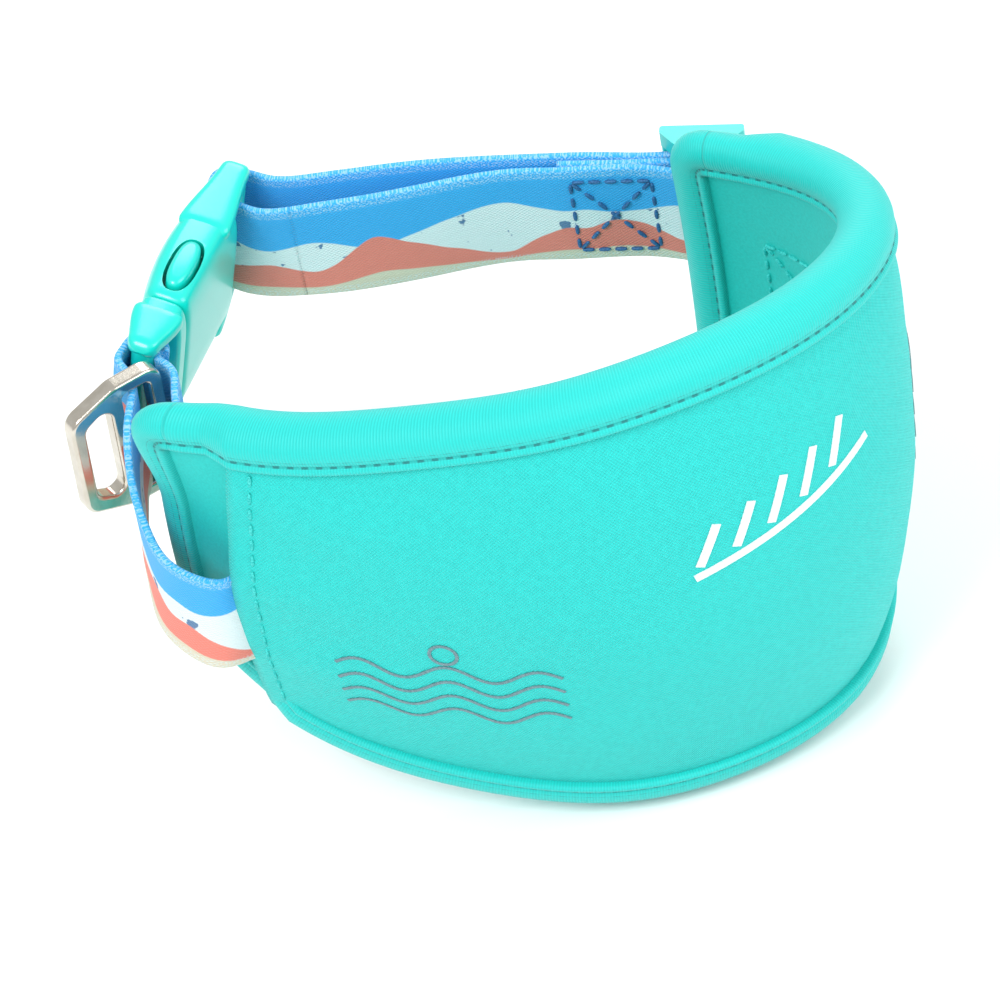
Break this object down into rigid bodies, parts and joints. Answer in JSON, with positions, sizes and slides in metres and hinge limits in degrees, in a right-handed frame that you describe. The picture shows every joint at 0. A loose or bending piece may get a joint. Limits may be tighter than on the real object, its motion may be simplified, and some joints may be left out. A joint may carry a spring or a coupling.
{
  "type": "padded dog collar",
  "caption": "Wide padded dog collar with a running printed strap, a side release buckle, a tri glide slider and a leash ring that swings.",
  "frame": {"origin": "middle of the whole collar's bounding box, at its lowest point", "axes": "+Z along the collar's axis towards the panel's upper edge, +X from the leash ring side across to the far end of the oval, +Y from the panel towards the slider"},
  "size_m": [0.1328, 0.0924, 0.0989],
  "materials": {
    "neoprene": "matte",
    "lining": "matte",
    "cover": "woven",
    "binding": "ribbed",
    "webbing": "woven",
    "buckle": "gloss",
    "slider": "satin",
    "ring": "satin nickel",
    "thread": "matte",
    "reflective": "reflective film"
  },
  "bodies": {
    "collar": {"neck_pad": "neoprene", "pad_lining": "lining", "cover_panel": "cover", "binding_top": "binding", "binding_bottom": "binding", "binding_left_end": "binding", "binding_right_end": "binding", "strap_tunnel_run": "webbing", "strap_bow": "webbing", "strap_male_outer": "webbing", "strap_male_loop": "webbing", "strap_male_inner": "webbing", "strap_right_lead": "webbing", "strap_back_outer": "webbing", "strap_female_loop": "webbing", "strap_back_inner": "webbing", "buckle_female": "buckle", "buckle_male": "buckle", "thread_seam_left": "thread", "thread_seam_right": "thread", "thread_pad_box": "thread", "reflective_left": "reflective", "reflective_centre": "reflective", "reflective_right": "reflective"},
    "ring": {"d_ring": "ring"},
    "prong_up": {"prong_upper": "buckle"},
    "prong_low": {"prong_lower": "buckle"},
    "slider": {"tri_glide": "slider", "strap_sewn_end": "webbing", "thread_strap_box": "thread"}
  },
  "joints": [
    {"name": "d_ring_swing", "type": "hinge", "parent": "collar", "child": "ring", "pos_m": [-0.05571, -0.00286, 0.0598], "axis": [0, 0, -1], "range_deg": [-5, 50]},
    {"name": "prong_upper_squeeze", "type": "hinge", "parent": "collar", "child": "prong_up", "pos_m": [-0.0458, 0.03007, 0.06518], "axis": [0.9192, -0.3345, -0.2079], "range_deg": [0, 6], "stiffness_Nm_per_rad": 0.05},
    {"name": "prong_lower_squeeze", "type": "hinge", "parent": "collar", "child": "prong_low", "pos_m": [-0.04795, 0.03085, 0.05442], "axis": [-0.9192, 0.3345, 0.2079], "range_deg": [0, 6], "stiffness_Nm_per_rad": 0.05},
    {"name": "slider_slide", "type": "slide", "parent": "collar", "child": "slider", "axis": [-0.9969, 0.0785, 0], "range_m": [0, 0.006]}
  ]
}
